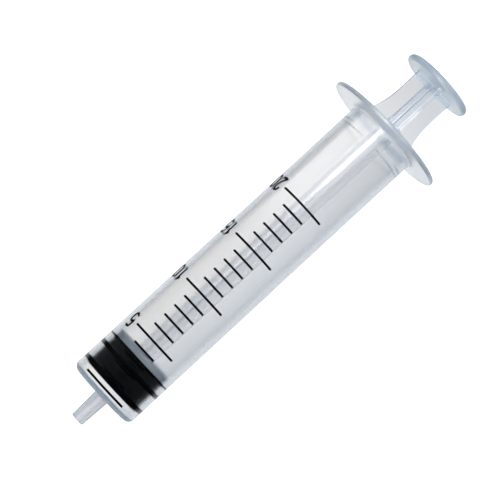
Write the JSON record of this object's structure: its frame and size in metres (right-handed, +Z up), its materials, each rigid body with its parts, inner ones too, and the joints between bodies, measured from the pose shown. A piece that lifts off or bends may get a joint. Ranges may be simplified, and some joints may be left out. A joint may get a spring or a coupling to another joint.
{
  "type": "eccentric tip syringe",
  "caption": "Hypodermic syringe with an off-centre slip nozzle, a full-circle finger flange, a ribbed plunger rod and a black rubber gasket that slides in a clear barrel.",
  "frame": {"origin": "centre of the thumb rest's outer face, on the floor the syringe stands on", "axes": "+Z up the barrel's axis to the nozzle; the printed side faces -Y; the nozzle stands off the axis towards +Y"},
  "size_m": [0.0368, 0.0368, 0.1317],
  "materials": {
    "barrel_plastic": "clear moulded polypropylene, smooth",
    "rod_plastic": "milky moulded polypropylene, smooth",
    "gasket_rubber": "black rubber, slightly shiny with silicone oil"
  },
  "bodies": {
    "barrel": {"barrel": "barrel_plastic"},
    "gasket": {"gasket": "gasket_rubber"},
    "rod": {"plunger_rod": "rod_plastic"}
  },
  "joints": [
    {"name": "plunger_slide", "type": "slide", "parent": "barrel", "child": "gasket", "axis": [0, 0, 1], "range_m": [-0.0823, 0.00215]},
    {"name": "rod_turn", "type": "hinge", "parent": "gasket", "child": "rod", "pos_m": [0, 0, 0.1], "axis": [0, 0, 1], "continuous": true}
  ]
}
